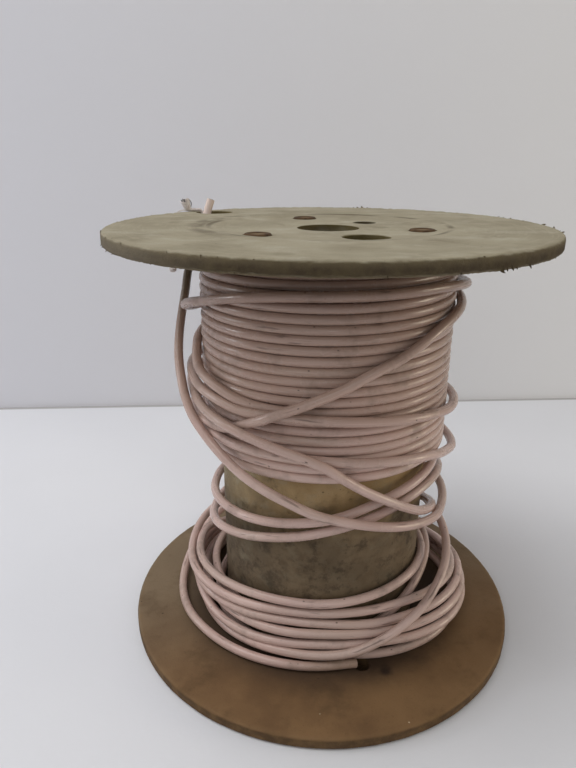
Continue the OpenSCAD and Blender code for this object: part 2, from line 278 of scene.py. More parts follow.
# %% Sweep the tube
def alone(piece):
    """Make one piece the only selected one."""
    bpy.ops.object.select_all(action="DESELECT")
    piece.select_set(True)
    bpy.context.view_layer.objects.active = piece


def swept(name, lines, radius, sides, caps=True):
    """Round bars of one radius, in mm, along lines of points in metres, as one mesh."""
    data = bpy.data.curves.new(name, "CURVE")
    data.dimensions, data.bevel_depth, data.bevel_resolution = "3D", radius * MM, sides // 2 - 2
    data.use_fill_caps = caps
    for line in lines:
        spline = data.splines.new("POLY")
        spline.points.add(len(line) - 1)
        spline.points.foreach_set("co", [c for point in line for c in (*point, 1)])
    piece = added(name, data)
    alone(piece)
    bpy.ops.object.convert(target="MESH")
    bpy.ops.object.shade_smooth()
    return piece


SIDES = 12
wire = swept("wire", [centre], WIRE_D / 2, SIDES)
print("wire corners", len(wire.data.vertices), "for", len(centre), "rings of", SIDES)

# %% Tell each corner where it was on the straight wire
count = len(wire.data.vertices)
corner = np.arange(count)
ring, spoke = np.minimum(corner // SIDES, len(centre) - 1), corner % SIDES
spin = 2 * math.pi * spoke / SIDES
unwound = np.c_[WIRE_D / 2 * MM * np.cos(spin), WIRE_D / 2 * MM * np.sin(spin), along[ring]]
wire.data.attributes.new("unwound", "FLOAT_VECTOR", "POINT").data.foreach_set(
    "vector", unwound.astype(np.float32).ravel())
corners = np.zeros(count * 3, np.float32)
wire.data.vertices.foreach_get("co", corners)
off = np.linalg.norm(corners.reshape(-1, 3) - centre[ring], axis=1) / MM
print("corner distance from the middle in mm", off.min().round(3), off.max().round(3))

# %% Let it ride and stand for its solids
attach(wire, "root")
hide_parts("wire_winding", "wire_heap", "heap_loop", "slack_low", "slack_mid", "slack_top",
            "wire_tail", "wire_cross", "wire_drop", "wire_riser")
print("wire declared")

# %% [markdown]
# ## Finishes as arithmetic
# A finish is a small sum: a ground colour, plus dirt where a mask says so, plus a bump. Wiring every
# node by hand hides that sum, so this class wraps one socket and lets Python's own signs add the Math
# nodes. Any other node comes from its add method, with the settings first and then the sockets.


# %% One value in a finish
class Value:
    """A socket of a material. Arithmetic on it adds Math nodes to the same material."""

    def __init__(self, socket):
        self.socket = socket

    def add(self, kind, settings=None, inputs=None, out=0):
        """Add a node of any kind and return one of its outputs."""
        node = self.socket.id_data.nodes.new("ShaderNode" + kind)
        for name, value in (settings or {}).items():
            setattr(node, name, value)
        for name, value in (inputs or {}).items():
            if isinstance(value, Value):
                node.id_data.links.new(value.socket, node.inputs[name])
            else:
                node.inputs[name].default_value = value
        return Value(node.outputs[out])

    def math(self, operation, first, second=0):
        """Add a Math node of two values."""
        return self.add("Math", {"operation": operation}, {0: first, 1: second})

    def __add__(self, other):
        return self.math("ADD", self, other)

    def __sub__(self, other):
        return self.math("SUBTRACT", self, other)

    def __rsub__(self, other):
        return self.math("SUBTRACT", other, self)

    def __mul__(self, other):
        return self.math("MULTIPLY", self, other)

    def __abs__(self):
        return self.math("ABSOLUTE", self)

    __radd__, __rmul__ = __add__, __mul__


print("operators", [name for name in vars(Value) if name.startswith("__r")])


# %% Words for places
def begin(name):
    """A new material, its shader, and the place on the piece that its patterns read."""
    made = bpy.data.materials.new(name)
    made.use_nodes = True
    shader = made.node_tree.nodes["Principled BSDF"]
    return made, shader, Value(shader.outputs[0]).add("TexCoord", out="Object")


def scaled(place, factors):
    """A place stretched along its axes."""
    return place.add("VectorMath", {"operation": "MULTIPLY"}, {0: place, 1: factors})


def part_of(place, axis):
    """The x, y or z of a place."""
    return place.add("SeparateXYZ", None, {0: place}, out="xyz".index(axis))


def distance(place, spot):
    """How far a place is from a spot."""
    return place.add("VectorMath", {"operation": "DISTANCE"}, {0: place, 1: spot}, out="Value")


def from_axis(place, x=0, y=0):
    """How far a place is from the spool's axis, or from an upright line at x and y."""
    return distance(scaled(place, (1, 1, 0)), (x, y, 0))


def stored(place, name):
    """A number that the mesh stores under a name."""
    return place.add("Attribute", {"attribute_name": name}, out="Fac")


print("words for places", [word.__name__ for word in (scaled, part_of, distance, from_axis, stored)])


# %% Words for patterns and colours
def noise(place, size, detail=2, rough=0.5):
    """Soft noise from 0 to 1, with lumps about size metres across."""
    return place.add("TexNoise", None, {"Vector": place, "Scale": 1 / size, "Detail": detail,
                                        "Roughness": rough})


def rise(value, low, high):
    """0 at low, 1 at high and smooth between; a fall if low is the greater."""
    return value.add("MapRange", {"interpolation_type": "SMOOTHSTEP"},
                     {"Value": value, "From Min": low, "From Max": high})


def specks(place, apart, dot, share):
    """Dots of a given radius, about apart metres from each other, in the given share of the cells."""
    cell = {"Vector": place, "Scale": 1 / apart, "Randomness": 1}
    near = place.add("TexVoronoi", None, cell, out="Distance")
    pick = place.add("TexVoronoi", None, cell, out="Color")
    chosen = rise(pick.add("SeparateColor", None, {0: pick}), share + 0.04, share)
    return rise(near, 1.5 * dot / apart, 0.7 * dot / apart) * chosen


def colour(red, green, blue):
    """A colour as a photograph gives it, 0 to 255, made linear for the shader."""
    return (*(((c / 255 + 0.055) / 1.055) ** 2.4 for c in (red, green, blue)), 1)


def blend(mask, first, second):
    """The first colour where the mask is 0 and the second where it is 1."""
    return mask.add("Mix", {"data_type": "RGBA"}, {0: mask, 6: first, 7: second}, out=2)


def coats(ground, *layers):
    """Lay colours over a ground, one after the other, each where its own mask says so."""
    for mask, tint in layers:
        ground = blend(mask, ground, tint)
    return ground


def paint(shader, base, rough, height, depth, shine=0.5):
    """Link a colour, a roughness and a bump of the given depth in metres, and set the shine."""
    links = shader.id_data.links
    links.new(base.socket, shader.inputs["Base Color"])
    links.new(rough.socket, shader.inputs["Roughness"])
    bump = height.add("Bump", None, {"Strength": 1, "Distance": depth, "Height": height})
    links.new(bump.socket, shader.inputs["Normal"])
    shader.inputs["Specular IOR Level"].default_value = shine


print("mid grey 119 is", round(colour(119, 119, 119)[0], 3), "in linear light")

# %% [markdown]
# ## Vinyl
# The insulation is pinkish beige, a little glossy, and old: grey dirt lies in broad patches, dark scuffs
# run along the wire where turns rubbed over each other, and small black specks sit everywhere. The
# turns next to the upper disc are painted darker, as painted shade under the disc. The tail's tip is
# pale, and the stretch that hangs below its hole is painted dark, partly as grime and partly as painted
# shade under the disc. The inner end is brownish. Streaks have to follow the wire and not the room,
# so they read the unwound place, squeezed along the wire so that every lump becomes a dash. Broad dirt
# reads the place on the spool instead, because it settled on turns that lie side by side.

# %% The vinyl finish
vinyl, shader, place = begin("vinyl")
straight = place.add("Attribute", {"attribute_name": "unwound"}, out="Vector")
dashes = scaled(straight, (1, 1, 0.1))
hairs = scaled(straight, (1, 1, 0.04))
z = part_of(place, "z")
tone = noise(place, 0.05, 3)
fade = noise(straight, 0.09, 2)
dirt = rise(noise(place, 0.016, 5, 0.65), 0.5, 0.72)
scuff = rise(noise(dashes, 0.0016, 2), 0.62, 0.71) * rise(noise(place, 0.03, 2), 0.39, 0.59)
scrape = rise(noise(hairs, 0.0009, 2), 0.6, 0.78) * rise(noise(straight, 0.013, 2), 0.45, 0.65)
dots = specks(scaled(straight, (1, 1, 0.6)), 0.0036, 0.00028, 0.27)
# Painted shade under the upper disc: the turns are painted darker towards the top.
upper = rise(z + 0.02 * tone, 0.112, 0.16)
shade_under_disc = rise(z + 0.008 * dirt, 0.145, 0.2)
along_it = part_of(straight, "z")
tip = rise(along_it + 0.003 * tone, 0.0255, 0.0215)
# Painted shade and grime: the stretch of the tail below its hole is painted dark.
shade_and_grime = (1 - tip) * rise(along_it + 0.02 * dirt, 0.115, 0.05)
inner_end = rise(along_it, WIRE_LENGTH - 0.035, WIRE_LENGTH - 0.006)
ground = coats(
    blend(rise(tone, 0.32, 0.68), colour(194, 164, 154), colour(209, 181, 170)),
    (rise(fade, 0.42, 0.66) * 0.55, colour(184, 162, 148)),
    (upper * 0.6, colour(164, 136, 119)),
    (shade_under_disc * 0.62, colour(118, 95, 83)),
    (dirt * 0.45, colour(122, 103, 90)),
    (tip * 0.9, colour(230, 211, 201)),
    (shade_and_grime * 0.8, colour(94, 87, 67)),
    (inner_end * 0.5, colour(128, 106, 80)),
    (scrape * 0.45, colour(212, 194, 184)),
    (scuff * 0.6, colour(92, 70, 60)),
    (dots * 0.75, colour(62, 46, 40)))
gloss = 0.2 + 0.26 * dirt + 0.15 * scuff + 0.14 * noise(hairs, 0.0011, 2)
relief = (noise(straight, 0.006, 2) + 0.4 * noise(straight, 0.0024, 2)
          + 0.18 * noise(dashes, 0.0008, 2) - 0.25 * scuff)
paint(shader, ground, gloss, relief, 0.0002)
wire.data.materials.append(vinyl)
print("vinyl nodes", len(vinyl.node_tree.nodes))

# %% [markdown]
# ## The two boards
# Each end of the reel is a disc sawn from 6 mm hardboard. A disc is a turned form, so half its section
# is drawn as a chain of points and spun round the axis, which leaves rows of even quads for the
# worn rim. The chain starts from a plane whose corners are merged into one point. The tube's groove is
# part of the section, and so is the shallow dish that the bolts have drawn into the upper disc.
# A Boolean cuts the holes afterwards, because they lie off the axis.


# %% Spin a section
def spun(name, section, steps):
    """Draw a chain of radius and height in mm, and spin it once round z."""
    bpy.ops.object.select_all(action="DESELECT")
    bpy.ops.mesh.primitive_plane_add(size=2 * MM)
    bpy.ops.object.mode_set(mode="EDIT")
    bpy.ops.mesh.select_mode(type="VERT")
    bpy.ops.mesh.select_all(action="SELECT")
    bpy.ops.mesh.merge(type="CENTER")
    bpy.ops.transform.translate(value=(section[0][0] * MM, 0, section[0][1] * MM))
    for (r0, z0), (r1, z1) in zip(section, section[1:]):
        bpy.ops.mesh.extrude_region_move(
            TRANSFORM_OT_translate={"value": ((r1 - r0) * MM, 0, (z1 - z0) * MM)})
    bpy.ops.mesh.select_all(action="SELECT")
    bpy.ops.mesh.remove_doubles(threshold=1e-6)
    bpy.ops.mesh.spin(steps=steps, angle=2 * math.pi, center=(0, 0, 0), axis=(0, 0, 1))
    bpy.ops.mesh.select_all(action="SELECT")
    bpy.ops.mesh.remove_doubles(threshold=1e-6)
    bpy.ops.mesh.normals_make_consistent(inside=False)
    bpy.ops.object.mode_set(mode="OBJECT")
    piece = bpy.context.object
    piece.name = piece.data.name = name
    return piece


def rim(low, high, radius, rounding):
    """The rim's points, from the lower face round to the upper one."""
    arc = [math.radians(a) for a in range(-90, 1, 15)]
    lower = [(radius - rounding + rounding * math.cos(a), low + rounding + rounding * math.sin(a))
             for a in arc]
    upper = [(r, high + low - z) for r, z in reversed(lower)]
    rows = round((high - low - 2 * rounding) / 0.5)
    side = [(radius, low + rounding + (high - low - 2 * rounding) * i / rows) for i in range(1, rows)]
    return lower + side + upper


BORE_R, RIM_R, ROUNDING, RIM_FROM = 14.3, 101.6, 1.5, 98.5
GROOVE_IN, GROOVE_OUT = 48.2, 52.3
BOARD, UNDERSIDE, TOP = 6, 201, 207
DISH_UNDERSIDE, DISH_TOP = 199.8, 205.8
upper_section = [
    (BORE_R, DISH_UNDERSIDE), (37.9, DISH_UNDERSIDE), (47.9, UNDERSIDE), (GROOVE_IN, UNDERSIDE),
    (GROOVE_IN, 203), (GROOVE_OUT, 203), (GROOVE_OUT, UNDERSIDE), (80, UNDERSIDE), (RIM_FROM, UNDERSIDE),
    *rim(UNDERSIDE, TOP, RIM_R, ROUNDING), (RIM_FROM, TOP), (80, TOP), (58, TOP), (56.5, 206.97),
    (55, 206.84), (53, 206.62), (50, 206.27), (47.5, 205.98), (46, 205.85), (44, DISH_TOP),
    (30, DISH_TOP), (14.9, DISH_TOP), (14.5, 205.7), (BORE_R, 205.5), (BORE_R, DISH_UNDERSIDE)]
lower_section = [
    (BORE_R, 0), (80, 0), (RIM_FROM, 0), *rim(0, BOARD, RIM_R, ROUNDING), (RIM_FROM, BOARD), (80, BOARD),
    (66, BOARD), (GROOVE_OUT, BOARD), (GROOVE_OUT, 4), (GROOVE_IN, 4), (GROOVE_IN, BOARD), (30, BOARD),
    (BORE_R, BOARD), (BORE_R, 0)]
upper_board = spun("upper_board", upper_section, 600)
lower_board = spun("lower_board", lower_section, 600)
boards = upper_board, lower_board
print("board faces", [len(board.data.polygons) for board in boards])

# %% [markdown]
# ## Drilled holes
# A drill is a cylinder that is flared at both ends, so that the edge of its hole comes out eased and
# catches a little light, as the edge of a worn hole does. The ends are picked by their normals. The
# hole for the wire's inner end narrows at the bottom, so that the pale table doesn't show through it.


# %% A drill
def pick_faces(piece, test):
    """Select the faces whose normal passes a test, and go to edit mode."""
    bpy.ops.object.mode_set(mode="EDIT")
    bpy.ops.mesh.select_mode(type="FACE")
    bpy.ops.mesh.select_all(action="DESELECT")
    bpy.ops.object.mode_set(mode="OBJECT")
    for face in piece.data.polygons:
        face.select = test(face.normal)
    bpy.ops.object.mode_set(mode="EDIT")


def drill(board, angle, radius, diameter, low, high, eased=0.5):
    """Cut one hole with flared ends."""
    middle = Vector((radius * math.cos(math.radians(angle)), radius * math.sin(math.radians(angle)),
                     (low + high) / 2)) * MM
    bpy.ops.object.select_all(action="DESELECT")
    bpy.ops.mesh.primitive_cylinder_add(vertices=72, radius=diameter / 2 * MM,
                                        depth=(high - low - 2 * eased) * MM)
    bit = bpy.context.object
    for up in (1, -1):
        pick_faces(bit, lambda normal: normal.z * up > 0.9)
        bpy.ops.mesh.extrude_region_move(TRANSFORM_OT_translate={"value": (0, 0, up * 2 * eased * MM)})
        wider = 1 + 4 * eased / diameter
        bpy.ops.transform.resize(value=(wider, wider, 1))
        bpy.ops.object.mode_set(mode="OBJECT")
    bit.data.transform(Matrix.Translation(middle))
    cut = board.modifiers.new("hole", "BOOLEAN")
    cut.object, cut.operation, cut.solver = bit, "DIFFERENCE", "MANIFOLD"
    alone(board)
    bpy.ops.object.modifier_apply(modifier=cut.name)
    bpy.data.objects.remove(bit)


print("drill ready for", [board.name for board in boards])

# %% Drill the boards
DRIVE_HOLE, EXIT_HOLE, PEG_HOLE = (-65, 37, 20), (136, 88, 20), (52, 29.2, 10.4)
INNER_END_ANGLE, INNER_END_R = -70.5, 62.2
BOLT_R, BOLT_ANGLES = 43, (-133.5, -13.5, 106.5)
SHANK_D, HEAD_D, NUT_D = 6.8, 12.6, 14.3
drill(upper_board, *DRIVE_HOLE, DISH_UNDERSIDE, DISH_TOP)
drill(upper_board, *PEG_HOLE, DISH_UNDERSIDE, DISH_TOP, 0.4)
drill(upper_board, *EXIT_HOLE, UNDERSIDE, TOP)
drill(lower_board, *DRIVE_HOLE, 0, BOARD)
drill(lower_board, INNER_END_ANGLE, INNER_END_R, 8, 1, BOARD, 0.4)
drill(lower_board, INNER_END_ANGLE, INNER_END_R, 3, -1, 3, 0.2)
for angle in BOLT_ANGLES:
    drill(upper_board, angle, BOLT_R, SHANK_D, 198.5, 205, 0.2)
    drill(upper_board, angle, BOLT_R, HEAD_D, 203.8, 206.2, 0.3)
    drill(lower_board, angle, BOLT_R, SHANK_D, -1, 7, 0.2)
    drill(lower_board, angle, BOLT_R, NUT_D, -1, 3.4, 0.2)
print("faces after drilling", [len(board.data.polygons) for board in boards])

# %% [markdown]
# ## The worn rim
# Hardboard is pressed wood fibre, and a rim that has been rolled and dropped goes soft and ragged.
# Two Displace modifiers with cloud textures push the rim in and out, one in broad dents and one in
# fine fuzz. A vertex group keeps them off the faces, where relief this fine belongs in the finish.


# %% Wear the rims
def wear(board, lump, strength):
    """Push the rim in and out by a cloud texture with lumps of the given size, in mm."""
    cloud = bpy.data.textures.new("clouds", "CLOUDS")
    cloud.noise_scale, cloud.noise_depth, cloud.noise_type = lump * MM, 1, "HARD_NOISE"
    worn = board.modifiers.new("wear", "DISPLACE")
    worn.texture, worn.texture_coords, worn.vertex_group = cloud, "LOCAL", "rim"
    worn.mid_level, worn.strength = 0.45, strength * MM
    alone(board)
    bpy.ops.object.modifier_apply(modifier=worn.name)


WORN_FROM = 99.8
for board in boards:
    reach = [math.hypot(v.co.x, v.co.y) / MM for v in board.data.vertices]
    group = board.vertex_groups.new(name="rim")
    group.add([i for i, r in enumerate(reach) if r > WORN_FROM], 1, "REPLACE")
wear(upper_board, 11, 0.3)
wear(upper_board, 1.6, -0.45)
wear(lower_board, 14, 0.2)
wear(lower_board, 1.8, -0.15)
for board in boards:
    alone(board)
    bpy.ops.object.shade_smooth_by_angle(angle=math.radians(38))
    board.data.materials.clear()
    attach(board, "root")
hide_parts("upper_flange")
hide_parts("lower_flange")
reach = max(math.hypot(v.co.x, v.co.y) for v in upper_board.data.vertices) / MM
print("upper rim reaches", round(reach, 2), "mm")

# %% [markdown]
# ## Loose fibres on the rim
# Here and there a bundle of fibres has come loose and stands out from the rim, and against the wall
# these tufts are what says that the disc is fibre and not plastic. One tuft is modelled from a cone:
# its tip is drawn out and pushed aside, and it is squashed flat. Copies with their own mesh are turned
# and placed round the rim and then joined. The first ones stand where the photograph shows them, and
# the rest are small and scattered.

# %% Model one tuft
bpy.ops.object.select_all(action="DESELECT")
bpy.ops.mesh.primitive_cone_add(vertices=6, radius1=1, radius2=0.45, depth=1, end_fill_type="NGON")
tuft = bpy.context.object
pick_faces(tuft, lambda normal: normal.z > 0.9)
for shift, narrowing in (((0.25, 0.1, 0.35), (0.55, 0.7, 1)), ((0.35, -0.1, 0.2), (0.35, 0.4, 1))):
    bpy.ops.mesh.extrude_region_move(TRANSFORM_OT_translate={"value": shift})
    bpy.ops.transform.resize(value=narrowing)
bpy.ops.mesh.select_all(action="SELECT")
bpy.ops.transform.resize(value=(1, 0.55, 1))
bpy.ops.object.mode_set(mode="OBJECT")
print("tuft faces", len(tuft.data.polygons))

# %% Choose the tufts' angles, edges (1 the upper, -1 the lower) and sizes in mm
rng = random.Random(7)
spots = [
    (76.5, 1, 1.3), (78, 1, 2), (79.5, 1, 1.8), (81, 1, 1.4), (28, 1, 0.9), (26, 1, 1.4), (23, 1, 1.5),
    (17, 1, 0.9), (13, 1, 0.7), (6, 1, 1.3), (-1.5, 1, 1.3), (150, 1, 0.7), (157, 1, 0.9), (168, 1, 0.6),
    (-10, 1, 1.1), (-46, -1, 1.2), (-50.5, -1, 1), (-52, -1, 1.3), (-53.5, -1, 1.1), (-55, -1, 1.4),
    (-33, -1, 0.7), (-150, -1, 0.9), (-156, -1, 0.8), (-161, -1, 1), (-166, -1, 0.7), (-145, -1, 0.7),
    (-128, -1, 0.6), (-60, 1, 0.6)]
spots += [(rng.uniform(0, 360), rng.choice((1, -1)), rng.uniform(0.35, 0.8)) for _ in range(60)]
print("tufts", len(spots))

# %% Place the tufts
TUFT_R, TUFT_MIDDLE, TUFT_RISE = 101.25, 204, 2.35
tufts = []
for angle, up, size in spots:
    lean = rng.uniform(25, 65) * up
    turn = (Matrix.Rotation(math.radians(angle), 4, "Z")
            @ Matrix.Translation(Vector((TUFT_R, 0, TUFT_MIDDLE + TUFT_RISE * up)) * MM)
            @ Matrix.Rotation(math.radians(90 - lean), 4, "Y")
            @ Matrix.Rotation(rng.uniform(0, 2 * math.pi), 4, "Z")
            @ Matrix.Diagonal((size * MM, size * MM, size * rng.uniform(0.7, 1.2) * MM, 1)))
    copy = added("tuft", tuft.data.copy())
    copy.data.transform(turn)
    tufts.append(copy)
bpy.data.objects.remove(tuft)
alone(tufts[0])
for copy in tufts:
    copy.select_set(True)
bpy.ops.object.join()
loose_fibres = bpy.context.object
loose_fibres.name = loose_fibres.data.name = "loose_fibres"
bpy.ops.object.shade_smooth_by_angle(angle=math.radians(50))
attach(loose_fibres, "root")
print("fibre faces", len(loose_fibres.data.polygons))

# %% [markdown]
# ## Hardboard
# The upper face of the reel is dusty olive beige with faint marks, and the sawn rim is dark and
# fibrous. Its left side is painted paler, as painted light, and its upper edge is painted paler, partly
# as wear and partly as painted light. A patch of painted shade darkens the mouth of the peg hole. To
# know where a face was sawn, each corner gets a number from its normal: 0 on the flat faces and 1 on
# the rim and in the holes. The tufts get 1 all over. The finish reads that attribute and breaks its
# line up with noise, so the dark of the rim creeps unevenly over the worn edge.


# %% Mark the sawn faces
def mark_sawn(piece, sawn):
    """Store a number for each corner, 0 to 1."""
    piece.data.attributes.new("sawn", "FLOAT", "POINT").data.foreach_set("value", sawn)


def lean_of(piece):
    """How far each corner's normal leans from the axis."""
    normals = np.zeros(len(piece.data.vertices) * 3, np.float32)
    piece.data.vertex_normals.foreach_get("vector", normals)
    return 1 - np.abs(normals.reshape(-1, 3)[:, 2])


for board in boards:
    mark_sawn(board, lean_of(board))
mark_sawn(loose_fibres, np.ones(len(loose_fibres.data.vertices)))
print("mean lean", [round(float(lean_of(board).mean()), 3) for board in boards])


# %% What both boards share
def fibres(place):
    """Pressed wood fibre: fine flecks, and lumps a few millimetres across."""
    return noise(place, 0.0007, 3, 0.6), noise(place, 0.005, 4, 0.6)


def sawn_edge(place, ragged):
    """1 on sawn faces, with a ragged limit."""
    return rise(stored(place, "sawn") + 0.3 * ragged, 0.3, 0.95)


print("board patterns", fibres.__name__, sawn_edge.__name__)

# %% The upper board's masks
PEG_MOUTH, CREASE_R = (0.018, 0.023, 0.2045), 0.0553
upper_finish, shader, place = begin("upper_board")
x, y, z = (part_of(place, axis) for axis in "xyz")
out = from_axis(place)
fleck, lump = fibres(place)
edge = sawn_edge(place, lump)
bearing = y.math("ARCTAN2", y, x)
rings = noise(out.add("CombineXYZ", None, {0: out, 1: 0.006 * bearing, 2: 0.02 * z}), 0.0012, 3)
tone = noise(place, 0.035, 3, 0.55)
stain = rise(noise(place, 0.016, 4, 0.6), 0.54, 0.74)
dust = rise(noise(scaled(place, (1, 1.6, 1)), 0.026, 5, 0.62), 0.5, 0.7)
crease = rise(abs(out - CREASE_R), 0.0022, 0.0003) * rise(noise(place, 0.022), 0.4, 0.62) * 0.75
crescent = rise(out, 0.055, 0.0585) * rise(out, 0.067, 0.061) * rise(x, -0.03, -0.052) * rise(
    noise(place, 0.014, 3), 0.36, 0.58) * 0.65
shaded_below = rise(z, 0.203, 0.2015)
# Partly wear and partly painted light: the rim's upper edge is painted paler.
worn_and_lit_arris = edge * rise(z, 0.2032, 0.2066)
# Painted light: the left side of the rim is painted paler.
lit_left_rim = edge * rise(x, -0.03, -0.085)
hole_wall = edge * rise(out, 0.0995, 0.0985)
# Painted shade: a dark patch in the mouth of the peg hole.
peg_hole_shade = rise(distance(place, PEG_MOUTH) + 0.001 * lump, 0.0067, 0.0059)
print("upper board masks", len(upper_finish.node_tree.nodes), "nodes")

# %% The upper board's finish
ground = coats(
    blend(rise(tone, 0.3, 0.7), colour(138, 130, 109), colour(155, 147, 125)),
    (rise(rings, 0.5, 0.7) * 0.3, colour(168, 160, 138)),
    (dust * 0.5, colour(172, 166, 148)),
    (stain * 0.5, colour(112, 102, 80)),
    (crease.math("MAXIMUM", crease, crescent), colour(84, 74, 55)),
    (rise(fleck, 0.55, 0.75) * 0.3, colour(110, 98, 74)),
    (shaded_below * 0.75, colour(96, 82, 58)),
    (edge, blend(rise(lump, 0.3, 0.7), colour(66, 55, 41), colour(83, 72, 52))),
    (worn_and_lit_arris * 0.45, colour(122, 110, 84)),
    (lit_left_rim * 0.55, colour(128, 119, 102)),
    (hole_wall * 0.8, colour(92, 80, 36)),
    (peg_hole_shade * 0.85, colour(48, 40, 20)),
    (specks(place, 0.006, 0.0004, 0.2) * 0.6, colour(60, 50, 36)))
rough = 0.86 - 0.14 * rise(tone, 0.4, 0.7) + 0.1 * edge
relief = 0.5 * lump + 0.22 * fleck + 0.1 * rings + 0.5 * edge * fleck
paint(shader, ground, rough, relief, 0.0006, shine=0.25)
for piece in (upper_board, loose_fibres):
    piece.data.materials.append(upper_finish)
print("upper board nodes", len(upper_finish.node_tree.nodes))

# %% [markdown]
# ## The lower board
# The lower disc has kept its brown: it lay in the shade of the wire, and hands polished it. It is
# greyer and paler towards the back and the left, partly its own colour and partly painted light, and
# warmer at the front; its right side is painted paler, as painted light. It has dark smears, a ring of
# painted shade and grime round the heap, a round stain, a rim that is rubbed in places and white
# crumbs of dust.

# %% The lower board's finish
STAIN_X, STAIN_Y = 0.0325, -0.0625
lower_finish, shader, place = begin("lower_board")
x, y = (part_of(place, axis) for axis in "xy")
out = from_axis(place)
fleck, lump = fibres(place)
edge = sawn_edge(place, lump)
tone = noise(place, 0.03, 4, 0.55)
smear = rise(noise(place, 0.022, 5, 0.62), 0.5, 0.72)
# Greyer and paler towards the back and the left: partly its own colour, partly painted light.
grey = rise(y - 0.35 * x + 0.05 * tone, -0.045, 0.06)
# Painted shade and grime: a dark ring round the heap.
shade_and_grime = rise(out + 0.004 * lump, 0.086, 0.065)
stain = rise(from_axis(place, STAIN_X, STAIN_Y) + 0.004 * lump, 0.0064, 0.003)
rubbed = rise(out, 0.0985, 0.1) * rise(lump, 0.45, 0.7)
ground = coats(
    blend(rise(tone, 0.32, 0.68), colour(103, 77, 50), colour(124, 95, 63)),
    # Painted light: the right side of the disc is painted paler.
    (rise(x, 0.0, 0.08) * 0.35, colour(128, 98, 64)),
    (grey * 0.8, colour(122, 107, 86)),
    (smear * 0.45, colour(72, 56, 38)),
    (shade_and_grime * 0.92, colour(58, 43, 31)),
    (stain * 0.85, colour(38, 24, 17)),
    (rise(fleck, 0.56, 0.74) * 0.35, colour(82, 64, 42)),
    (edge * 0.8, blend(rise(lump, 0.3, 0.7), colour(74, 55, 35), colour(98, 75, 48))),
    (rubbed * 0.3, colour(122, 94, 60)),
    (specks(place, 0.007, 0.0004, 0.16) * 0.6, colour(52, 38, 26)),
    (specks(place, 0.013, 0.0004, 0.12) * 0.9, colour(205, 190, 160)))
rough = 0.78 + 0.12 * smear - 0.06 * rise(tone, 0.5, 0.7) + 0.1 * edge
relief = 0.4 * lump + 0.22 * fleck + 0.4 * edge * fleck
paint(shader, ground, rough, relief, 0.0005, shine=0.3)
lower_board.data.materials.append(lower_finish)
print("lower board nodes", len(lower_finish.node_tree.nodes))

# %% [markdown]
# ## The fibre tube
# The barrel is a tube of wound grey-brown fibre. Its shape in the CAD model is right, so it keeps its
# node and gets a finish. Damp has left it blotched: yellow brown with a pale bloom under the winding,
# and greyer on the left. It is painted darker towards the bottom, where black patches crowd.

# %% The tube's finish
tube_finish, shader, place = begin("fibre_tube")
x, z = (part_of(place, axis) for axis in "xz")
fleck, lump = fibres(place)
tone = noise(place, 0.028, 4, 0.6)
# The tube is painted darker towards the bottom.
low = rise(z + 0.03 * tone, 0.108, 0.078)
mould = rise(noise(place, 0.0085, 6, 0.72) + 0.1 * low, 0.57, 0.76)
blot = rise(noise(place, 0.02, 5, 0.65) + 0.06 * low, 0.5, 0.72)
bloom = rise(noise(scaled(place, (1, 1, 1.4)), 0.014, 5, 0.68), 0.5, 0.7)
side = rise(x + 0.02 * tone, 0.0, -0.045)
dots = specks(place, 0.0036, 0.0004, 0.25) * rise(tone, 0.4, 0.55)
ground = coats(
    blend(rise(tone, 0.32, 0.68), colour(154, 128, 89), colour(180, 154, 113)),
    (side * 0.7, colour(105, 98, 79)),
    (low * 0.85, blend(rise(lump, 0.35, 0.65), colour(84, 70, 55), colour(106, 91, 72))),
    (bloom * (0.3 + 0.4 * side), blend(low, colour(158, 150, 128), colour(124, 116, 96))),
    (blot * 0.45, colour(78, 66, 50)),
    (mould * 0.55, colour(46, 39, 32)),
    (rise(fleck, 0.55, 0.75) * 0.3, colour(84, 72, 52)),
    (dots * 0.6, colour(52, 44, 34)))
rough = 0.8 - 0.12 * rise(tone, 0.4, 0.7) + 0.1 * mould
relief = 0.6 * lump + 0.25 * fleck + 0.2 * bloom - 0.3 * mould
paint(shader, ground, rough, relief, 0.0005, shine=0.3)
nodes["barrel"].data.materials.clear()
nodes["barrel"].data.materials.append(tube_finish)
print("tube nodes", len(tube_finish.node_tree.nodes))

# %% [markdown]
# ## The tie bolts
# Three bolts clamp the reel. Each head is sunk in the board: a rusty ring that stands up a little, round
# a hollow that has filled with pale dust. A bolt is another turned form: its section runs from the
# hollow out over the ring and down the shank. It is spun once and copied, each copy with its own
# mesh. The finish finds the hollow by its height and by its level face.

# %% Spin one bolt and copy it
one_bolt = spun("bolt", [
    (0, 205.9), (1.4, 205.92), (2.8, 205.96), (3.4, 206.06), (3.9, 206.36), (4.4, 206.62), (4.9, 206.68),
    (5.4, 206.55), (5.8, 206.2), (6, 205.7), (6, 203.8), (3.1, 203.8), (3.1, 0.9), (2.8, 0.6),
    (0, 0.6)], 40)
bpy.ops.object.shade_smooth_by_angle(angle=math.radians(40))
bolts = []
for i, angle in enumerate(BOLT_ANGLES):
    bolt = added(f"bolt_{i + 1}", one_bolt.data.copy())
    bolt.data.transform(
        Matrix.Rotation(math.radians(angle), 4, "Z") @ Matrix.Translation((BOLT_R * MM, 0, 0)))
    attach(bolt, "root")
    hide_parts(f"tie_bolt_{i + 1}")
    mark_sawn(bolt, lean_of(bolt))
    bolts.append(bolt)
bpy.data.objects.remove(one_bolt)
print("bolts", len(bolts), "of", len(bolts[0].data.polygons), "faces")

